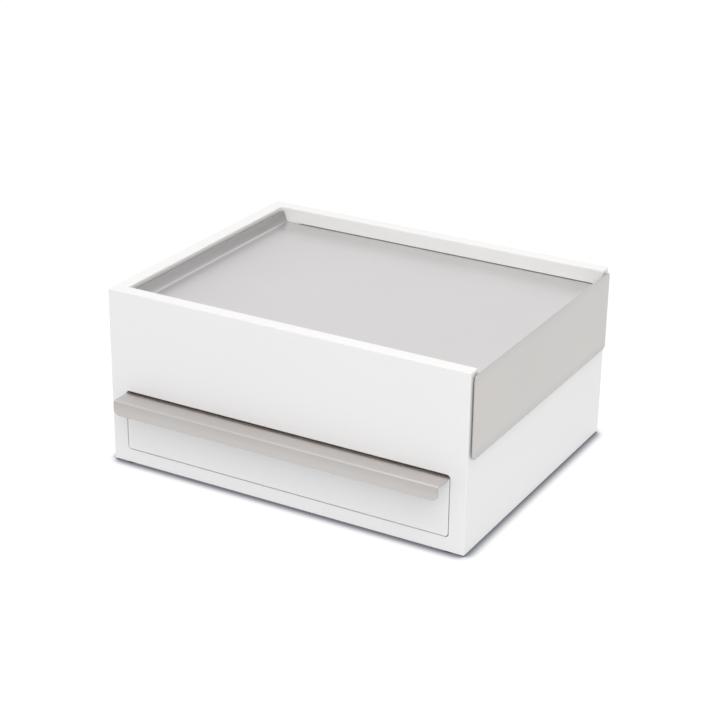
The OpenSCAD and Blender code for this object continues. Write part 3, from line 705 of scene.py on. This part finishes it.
# %% Drawer front, sides and back
DRAWER_CORNER = 1.9 * MM  # follows the corner of the opening
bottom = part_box("drawer_bottom")
BOARDS = {  # node: (corner radii seen from the front, edge radius)
    "drawer_front": ((DRAWER_CORNER, DRAWER_CORNER, 0, 0), 0.35 * MM),
    "drawer_left_side": ((DRAWER_CORNER, 0, 0, 0), 0.6 * MM),
    "drawer_right_side": ((0, DRAWER_CORNER, 0, 0), 0.6 * MM),
    "drawer_back": ((0, 0, 0, 0), 0.6 * MM),
}
for node, (radii, edge) in BOARDS.items():
    low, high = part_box(node)
    mesh = bmesh.new()
    prism(mesh, rounded(low.x, low.z, high.x, high.z, radii), 1, low.y, high.y)
    board = as_piece(node.replace("drawer", "drawer_board"), mesh, lacquer, "drawer",
                     "white_lacquer", node)
    cut(board, *whole(*bottom))
    ease_edges(board, edge)
    print(board.name, [round(v / MM, 1) for v in high - low], "mm")

# %% [markdown]
# ## Linen
# The compartments are lined with thin board that is covered with grey linen. In
# a plain weave each thread goes over one crossing thread and under the next. A
# checker says which of the two lies on top, two sets of soft bands give the
# round threads, and a stretched noise gives the thick and thin places that make
# linen look like linen. Lining linen has about 12 threads to the centimetre;
# it is drawn at 8, so that the weave can be seen. The weave follows its own map
# of the surface, in metres, so it keeps its size on every board.

# %% Material: linen
THREAD = 1.25 * MM
BAND = math.tau / 20  # scale at which a wave band is one unit wide
SLUB_ACROSS, SLUB_ALONG = 0.9, 0.06  # thick and thin places to a thread's width
BETWEEN_THREADS = 0.72  # painted shade between the threads: how bright the cloth is there, where 1 is the top of a thread

linen, tree, shader, place = new_material("grey_linen", roughness=0.9)
shader.inputs["Specular IOR Level"].default_value = 0.25
shader.inputs["Sheen Weight"].default_value = 0.25
shader.inputs["Sheen Roughness"].default_value = 0.5
cloth = add_node(tree, "UVMap", {"uv_map": "cloth"})
threads = add_node(tree, "Mapping", {"Scale": [1 / THREAD] * 3}, {"Vector": cloth.outputs[0]})
over = add_node(tree, "TexChecker", {"Scale": 1.0}, {"Vector": threads.outputs[0]})
warp, weft = [add_node(tree, "TexWave", {"bands_direction": way, "Scale": BAND},
                       {"Vector": threads.outputs[0]}) for way in "XY"]
height = add_node(tree, "Mix", None, {
    0: over.outputs["Fac"], 2: warp.outputs["Fac"], 3: weft.outputs["Fac"]})
slub_warp, slub_weft = [
    add_node(tree, "TexNoise", {"Scale": 1.0, "Detail": 2.0}, {"Vector": add_node(
        tree, "Mapping", {"Scale": scale}, {"Vector": threads.outputs[0]}).outputs[0]})
    for scale in ((SLUB_ACROSS, SLUB_ALONG, 1), (SLUB_ALONG, SLUB_ACROSS, 1))]
slub = add_node(tree, "Mix", None, {
    0: over.outputs["Fac"], 2: slub_warp.outputs[0], 3: slub_weft.outputs[0]})
yarn = add_node(tree, "Mix", {"data_type": "RGBA", 6: paint("#85827C"), 7: paint("#B9B6AF")},
                {0: slub.outputs[0]})
shade = add_node(tree, "MapRange", {"To Min": BETWEEN_THREADS, "To Max": 1.0},
                 {"Value": height.outputs[0]})
woven = add_node(tree, "Mix", {"data_type": "RGBA", "blend_type": "MULTIPLY", 0: 1.0},
                 {6: yarn.outputs[2], 7: shade.outputs[0]})
relief = add_node(tree, "Bump", {"Strength": 0.6, "Distance": 0.0003},
                  {"Height": height.outputs[0]})
tree.links.new(woven.outputs[2], shader.inputs["Base Color"])
tree.links.new(relief.outputs[0], shader.inputs["Normal"])
print("weave drawn at", round(10 / (THREAD / MM), 1), "threads to the centimetre")

# %% [markdown]
# ## Lining boards and dividers
# Each is a board with cloth round it, so its edges are softer than those of
# bare board. The two dividers that cross are notched, one from above and one
# from below, and pushed into each other. cloth_map() lays the map of the weave
# flat on each face, as cloth is glued.

# %% Linings
NOTCH_PLAY = 0.1 * MM
CLOTH_EDGE = 0.7 * MM
LININGS = {
    "case": ("floor_lining", "front_lining", "back_lining", "left_lining", "right_lining",
             "ring_divider", "long_divider", "cross_divider"),
    "drawer": ("drawer_floor_lining", "drawer_front_lining", "drawer_back_lining",
               "drawer_left_lining", "drawer_right_lining", "drawer_divider"),
}


def cloth_map(piece):
    """Lays the map of the weave on each face from the side that it looks to."""
    mesh = piece.data
    layer = mesh.uv_layers.new(name="cloth")
    for face in mesh.polygons:
        away = max(range(3), key=lambda i: abs(face.normal[i]))
        across = [i for i in range(3) if i != away]
        for loop in face.loop_indices:
            point = mesh.vertices[mesh.loops[loop].vertex_index].co
            layer.uv[loop].vector = point[across[0]], point[across[1]]


def notched(node, axis, u0, u1, v, from_top):
    """The outline of a divider with a notch for the one that it crosses."""
    low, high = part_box(node)
    a, b = low[1 - axis], high[1 - axis]
    corners = [(a, low.z), (b, low.z), (b, high.z), (a, high.z)]
    notch = [(u0, 0), (u0, v), (u1, v), (u1, 0)]
    if from_top:
        notch = [(u, high.z if z == 0 else z) for u, z in notch[::-1]]
        return corners[:3] + notch + corners[3:]
    notch = [(u, low.z if z == 0 else z) for u, z in notch]
    return corners[:1] + notch + corners[1:]


long_box, cross_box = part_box("long_divider"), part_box("cross_divider")
halving = (long_box[0].z + long_box[1].z) / 2
for body, nodes in LININGS.items():
    for node in nodes:
        low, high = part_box(node)
        mesh = bmesh.new()
        if node == "long_divider":
            prism(mesh, notched(node, 1, cross_box[0].x - NOTCH_PLAY, cross_box[1].x + NOTCH_PLAY,
                                halving, True), 1, low.y, high.y)
        elif node == "cross_divider":
            prism(mesh, notched(node, 0, long_box[0].y - NOTCH_PLAY, long_box[1].y + NOTCH_PLAY,
                                halving, False), 0, low.x, high.x)
        else:
            prism(mesh, *whole(low, high))
        board = as_piece(node + "_cloth", mesh, linen, body, "linen", node)
        cloth_map(board)
        ease_edges(board, CLOTH_EDGE)
print("lining boards:", sum(len(n) for n in LININGS.values()))

# %% [markdown]
# ## Ring cushions
# Rings are held between four rolls of foam that are covered with the same
# linen. A roll is soft: it is crowned at the top, swells a little between its
# ends, and its cover is drawn in at the ends, with small gathers. It could be
# sculpted from a long block, but sections in a row keep the mesh even, which
# cloth needs. A section is the outline of a stadium, cut off at the floor.

# %% Ring cushions: the section of a roll
FOOT_R = 1.2 * MM  # rounding where a roll meets the floor
FOOT_STEPS, SIDE_STEPS, CROWN_STEPS = 3, 6, 10  # faces round the foot, side and top


def section(width, height):
    """Half widths and heights round a roll, from its lower left corner over its top."""
    r = width / 2
    side = [(-r + FOOT_R * (1 - math.sin(a)), FOOT_R * (1 - math.cos(a)))
            for a in (math.pi / 2 * i / FOOT_STEPS for i in range(FOOT_STEPS + 1))]
    side += [(-r, FOOT_R + (height - r - FOOT_R) * i / SIDE_STEPS) for i in range(1, SIDE_STEPS)]
    crown = [(-r * math.cos(a), height - r + r * math.sin(a))
             for a in (math.pi * i / CROWN_STEPS for i in range(CROWN_STEPS + 1))]
    return side + crown + [(-u, v) for u, v in side[::-1]]


low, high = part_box("ring_roll_1")
outline = section(high.x - low.x, high.z - low.z)
print("a section has", len(outline), "points")

# %% [markdown]
# ## Ring cushions: the empty covers
# An empty cover is a little slack, and not quite evenly so. Its sections lie
# closer towards the ends, where they shrink as those of a pillow do, and every
# point there is let down a little more or less than the next one, as in
# gathered cloth. The map of the weave follows the cover round and along.

# %% Ring cushions: the empty covers
ROLLS, SECTIONS = 4, 64
END_LENGTH = 9 * MM  # over which a roll rounds off
END_ROUNDING = 0.96  # how much of a quarter round the ends go through
NARROWEST, LOWEST = 0.55, 0.72  # shares of width and height at a full quarter round
GATHER, GATHER_TURN = 0.25 * MM, 2.1  # depth, and radians from one point to the next
SLACK, UNEVEN_SLACK = 0.035, 0.012  # how much slimmer an empty cover is, and how unevenly
DENTS_ACROSS, DENTS_ALONG, NEXT_ROLL = 90, 35, 7.0  # noise: per metre, and from roll to roll

rolls = {}
for i in range(1, ROLLS + 1):
    node = f"ring_roll_{i}"
    low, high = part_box(node)
    size, centre = high - low, (low + high) / 2
    outline = section(size.x, size.z)
    lengths = [0.0]
    for (u0, v0), (u1, v1) in zip(outline, outline[1:] + outline[:1]):
        lengths.append(lengths[-1] + math.hypot(u1 - u0, v1 - v0))
    mesh = bmesh.new()
    layer = mesh.loops.layers.uv.new("cloth")
    rings = []
    for step in range(SECTIONS + 1):
        along = -math.cos(math.pi * step / SECTIONS) * size.y / 2
        to_end = max(0.0, 1 - (size.y / 2 - abs(along)) / END_LENGTH)
        full = math.sqrt(1 - (END_ROUNDING * to_end) ** 2)
        ring = []
        for j, (u, v) in enumerate(outline):
            dent = noise.noise(Vector((u * DENTS_ACROSS, along * DENTS_ALONG, i * NEXT_ROLL)))
            pleat = GATHER * to_end * math.sin(j * GATHER_TURN + i)
            slim = 1 - SLACK - UNEVEN_SLACK * (1 + dent)
            ring.append(mesh.verts.new((
                centre.x + u * slim * (NARROWEST + (1 - NARROWEST) * full),
                centre.y + along,
                low.z + max(0.0, v * slim * (LOWEST + (1 - LOWEST) * full) - abs(pleat)))))
        rings.append((along, ring))
    for (near_y, near), (far_y, far) in zip(rings, rings[1:]):
        for j in range(len(outline)):
            k = (j + 1) % len(outline)
            face = mesh.faces.new((near[j], near[k], far[k], far[j]))
            places = ((j, near_y), (j + 1, near_y), (j + 1, far_y), (j, far_y))
            for loop, (at_j, y) in zip(face.loops, places):
                loop[layer].uv = lengths[at_j], y
    for y, ring in (rings[0], rings[-1]):
        face = mesh.faces.new(ring)
        for loop in face.loops:
            loop[layer].uv = loop.vert.co.x, loop.vert.co.z
    rolls[node] = as_piece(f"ring_cushion_{i}", mesh, linen, "case", "ring_foam", node)
print("covers:", len(rolls), "each", [round(v / MM, 1) for v in size], "mm when full")

# %% [markdown]
# ## Ring cushions: the filling
# Foam presses on its cover from all sides and fills it out between the glued
# foot and the sewn ends. Cloth simulation does just that: the cover gets an
# inner pressure for twenty frames, without gravity, and a little more cloth
# than it needs, so that it puckers where it is sewn. One could also push the
# points out by hand, but the folds would then have to be made up. A filled
# roll lies flat against the rolls and boards beside it, so no point may pass
# the room that the roll has.

# %% Ring cushions: filling them
FILLING = 4.0  # inner pressure
SPARE_CLOTH = 0.008  # how much longer and wider the cover is than its cut
SWELL = 1.2 * MM  # farthest that a point may move
SEAM = 1.0 * MM  # cloth this near the floor or the ends is held
FRAMES = 20


def fill(piece, low, high):
    """Lets a cover swell, held at its foot and ends, within a room from low to high."""
    cut_shape = [v.co.copy() for v in piece.data.vertices]
    held = piece.vertex_groups.new(name="glued_and_sewn")
    held.add([i for i, co in enumerate(cut_shape) if co.z < low.z + SEAM
              or not low.y + SEAM < co.y < high.y - SEAM], 1.0, "REPLACE")
    cover = piece.modifiers.new("cover", "CLOTH")
    cover.settings.use_pressure = True
    cover.settings.uniform_pressure_force = FILLING
    cover.settings.shrink_min = -SPARE_CLOTH
    cover.settings.vertex_group_mass = held.name
    cover.settings.effector_weights.gravity = 0
    cover.point_cache.frame_start, cover.point_cache.frame_end = 1, FRAMES
    for frame_number in range(1, FRAMES + 1):
        bpy.context.scene.frame_set(frame_number)
    settle(piece)
    bpy.context.scene.frame_set(1)
    farthest = 0.0
    for vertex, start in zip(piece.data.vertices, cut_shape):
        move = vertex.co - start
        move *= min(1.0, SWELL / max(move.length, SWELL))
        farthest = max(farthest, move.length)
        vertex.co = [min(max(c, a), b) for c, a, b in zip(start + move, low, high)]
    return farthest


for node, roll in rolls.items():
    moved = fill(roll, *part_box(node))
    roll.data.shade_smooth()
    smooth = roll.modifiers.new("smooth_cover", "SUBSURF")
    smooth.levels = smooth.render_levels = 1
    print(roll.name, "swelled by", round(moved / MM, 2), "mm")

# %% [markdown]
# ## Felt, rubber and slip tape
# Wool felt is pressed fibre: dull, mottled, a little fuzzy at the edge. The
# rubber of the feet is dark, dull and faintly porous. The tape that the drawer
# runs on is smooth white polyethylene, waxy, with fine lines from the extruder.
# All three come from one short function, since they differ only in colours,
# roughness, sheen and the size and depth of one noise.

# %% Materials: felt, rubber, slip tape
def soft_sheet(name, roughness, sheen, colours, stretch, depth):
    """A dull sheet material with a mottled tone; stretch is how fine, per metre."""
    material, tree, shader, place = new_material(name, roughness)
    shader.inputs["Sheen Weight"].default_value = sheen
    fibres = add_node(tree, "Mapping", {"Scale": stretch}, {"Vector": place})
    mottle = add_node(tree, "TexNoise", {"Scale": 1.0, "Detail": 4.0, "Roughness": 0.65},
                      {"Vector": fibres.outputs[0]})
    tone = add_node(tree, "Mix", {"data_type": "RGBA", 6: paint(colours[0]), 7: paint(colours[1])},
                    {0: mottle.outputs[0]})
    relief = add_node(tree, "Bump", {"Strength": 0.5, "Distance": depth},
                      {"Height": mottle.outputs[0]})
    tree.links.new(tone.outputs[2], shader.inputs["Base Color"])
    tree.links.new(relief.outputs[0], shader.inputs["Normal"])
    return material


felt_wool = soft_sheet("grey_wool_felt", 1.0, 0.4, ("#55565A", "#8A8B8E"), (700,) * 3, 0.0003)
rubber = soft_sheet("dark_foam_rubber", 0.85, 0.0, ("#2E2E30", "#454547"), (1500,) * 3, 0.0001)
slip_tape = soft_sheet("white_polyethylene_slip_tape", 0.42, 0.0, ("#D2D2CF", "#DEDEDB"),
                       (1500, 25, 1500), 0.00003)
print("materials:", felt_wool.name, rubber.name, slip_tape.name)

# %% [markdown]
# ## Strips and pads
# One CAD part may hold several solids, such as the four feet. solids() finds
# them again, as the groups of vertices that faces join, and gives the box of
# each. Strips are cut from those boxes. Pads are turned: half a profile goes
# round the pad's axis, and the rim of the end that shows is rounded. That is
# the lower end along the axis for all of them.

# %% Strips and pads: helpers
TURN_STEPS, RIM_STEPS = 40, 5  # faces round a pad, and round its rim
SAME_POINT = 0.001 * MM  # vertices nearer than this are one


def solids(node):
    """The lowest and highest corner of each separate solid of a CAD node."""
    mesh = bmesh.new()
    mesh.from_mesh(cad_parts[node].data)
    bmesh.ops.remove_doubles(mesh, verts=mesh.verts, dist=SAME_POINT)
    left_over, boxes = set(mesh.verts), []
    while left_over:
        group, edge = set(), [left_over.pop()]
        while edge:
            vertex = edge.pop()
            group.add(vertex.co.copy().freeze())
            near = {e.other_vert(vertex) for e in vertex.link_edges} & left_over
            left_over -= near
            edge += near
        boxes.append((Vector(map(min, *group)), Vector(map(max, *group))))
    mesh.free()
    return sorted(boxes, key=lambda b: tuple(b[0]))


def turned(mesh, axis, low, high, rim):
    """Adds a pad that fills a box, turned round an axis, with a rounded rim at its low end."""
    centre = (low + high) / 2
    u, v = [centre[i] for i in range(3) if i != axis]
    radius = (high[(axis + 1) % 3] - low[(axis + 1) % 3]) / 2
    profile = [(radius, high[axis])] + [
        (radius - rim + rim * math.cos(a), low[axis] + rim * (1 - math.sin(a)))
        for a in (math.pi / 2 * i / RIM_STEPS for i in range(RIM_STEPS + 1))]
    angles = [math.tau * i / TURN_STEPS for i in range(TURN_STEPS)]
    circles = [[mesh.verts.new(at(axis, u + r * math.cos(a), v + r * math.sin(a), w))
                for a in angles] for r, w in profile]
    for near, far in zip(circles, circles[1:]):
        for i in range(TURN_STEPS):
            mesh.faces.new((near[i - 1], near[i], far[i], far[i - 1]))
    mesh.faces.new(circles[0])
    mesh.faces.new(circles[-1])


print("feet:", len(solids("foot_pads")))

# %% [markdown]
# ## The strips and pads themselves
# Felt is cut with a blade and keeps a soft edge, tape is slit and keeps a
# sharper one, and buffers are punched. Two tables say which is which, so that
# one loop makes all the strips and another all the pads.

# %% Strips and pads
STRIPS = {  # node: (material, slot, edge radius)
    "lid_felt_strips": (felt_wool, "wool_felt", 0.25 * MM),
    "runner_strips": (slip_tape, "slip_plastic", 0.15 * MM),
    "guide_strips": (slip_tape, "slip_plastic", 0.3 * MM),
}
PADS = {  # node: (material, slot, axis, rim radius, body)
    "foot_pads": (rubber, "foam_rubber", 2, 0.3 * MM, "case"),
    "drawer_bumpers": (felt_wool, "wool_felt", 1, 0.8 * MM, "case"),
    "lid_buffers": (rubber, "foam_rubber", 0, 0.5 * MM, "lid"),
}
for node, (material, slot, edge) in STRIPS.items():
    mesh = bmesh.new()
    for low, high in solids(node):
        prism(mesh, *whole(low, high))
    strips = as_piece(node + "_cut", mesh, material, "case", slot, node)
    ease_edges(strips, edge, 2)
    print(strips.name, len(solids(node)), "strips")
for node, (material, slot, axis, rim, body) in PADS.items():
    mesh = bmesh.new()
    for low, high in solids(node):
        turned(mesh, axis, low, high, rim)
    pads = as_piece(node + "_turned", mesh, material, body, slot, node)
    pads.data.shade_smooth()
    pads.data.set_sharp_from_angle(angle=SHARP)
    print(pads.name, len(solids(node)), "pads")

# %% [markdown]
# ## Bare fibreboard, beech and zinc
# Parts that nobody is meant to see are left bare. Fibreboard is pressed wood
# fibre, an even brown with darker flecks. The dowels and the stop block are
# beech, pale with short dark flecks along the grain. Screws and pins are zinc
# plated: a bluish bright metal with a faint mottle. The CAD shapes of these
# parts are right as they are, so they stay, and only get their material.

# %% Materials: fibreboard, beech, zinc
def solid_stuff(name, roughness, metallic, colours, stretch, depth):
    """A hard material with a noise that is drawn out along its grain, per metre."""
    material, tree, shader, place = new_material(name, roughness, metallic)
    grain = add_node(tree, "Mapping", {"Scale": stretch}, {"Vector": place})
    figure = add_node(tree, "TexNoise", {"Scale": 1.0, "Detail": 5.0, "Roughness": 0.6,
                                         "Distortion": 0.4}, {"Vector": grain.outputs[0]})
    contrast = add_node(tree, "MapRange", {"From Min": 0.3, "From Max": 0.7},
                        {"Value": figure.outputs[0]})
    tone = add_node(tree, "Mix", {"data_type": "RGBA", 6: paint(colours[0]), 7: paint(colours[1])},
                    {0: contrast.outputs[0]})
    relief = add_node(tree, "Bump", {"Strength": 0.4, "Distance": depth},
                      {"Height": figure.outputs[0]})
    tree.links.new(tone.outputs[2], shader.inputs["Base Color"])
    tree.links.new(relief.outputs[0], shader.inputs["Normal"])
    return material


fibreboard = solid_stuff("bare_fibreboard", 0.8, 0, ("#9C7F5E", "#BFA27C"), (900,) * 3, 0.0001)
beech = solid_stuff("bare_beech", 0.6, 0, ("#C49A6C", "#DDBE94"), (50, 900, 900), 0.0001)
zinc = solid_stuff("zinc_plated_steel", 0.32, 1, ("#B4B8BD", "#CDD0D4"), (600,) * 3, 0.00001)
CAD_LOOKS = {
    "shelf": fibreboard, "drawer_bottom": fibreboard,
    "case_dowels": beech, "drawer_stop_block": beech,
    "drawer_stop_screw": zinc, "lid_stop_pins": zinc, "drawer_pins": zinc, "handle_screws": zinc,
}
for node, material in CAD_LOOKS.items():
    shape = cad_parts[node]
    shape.data.materials.clear()
    shape.data.materials.append(material)
print("CAD parts that stay:", len(CAD_LOOKS))
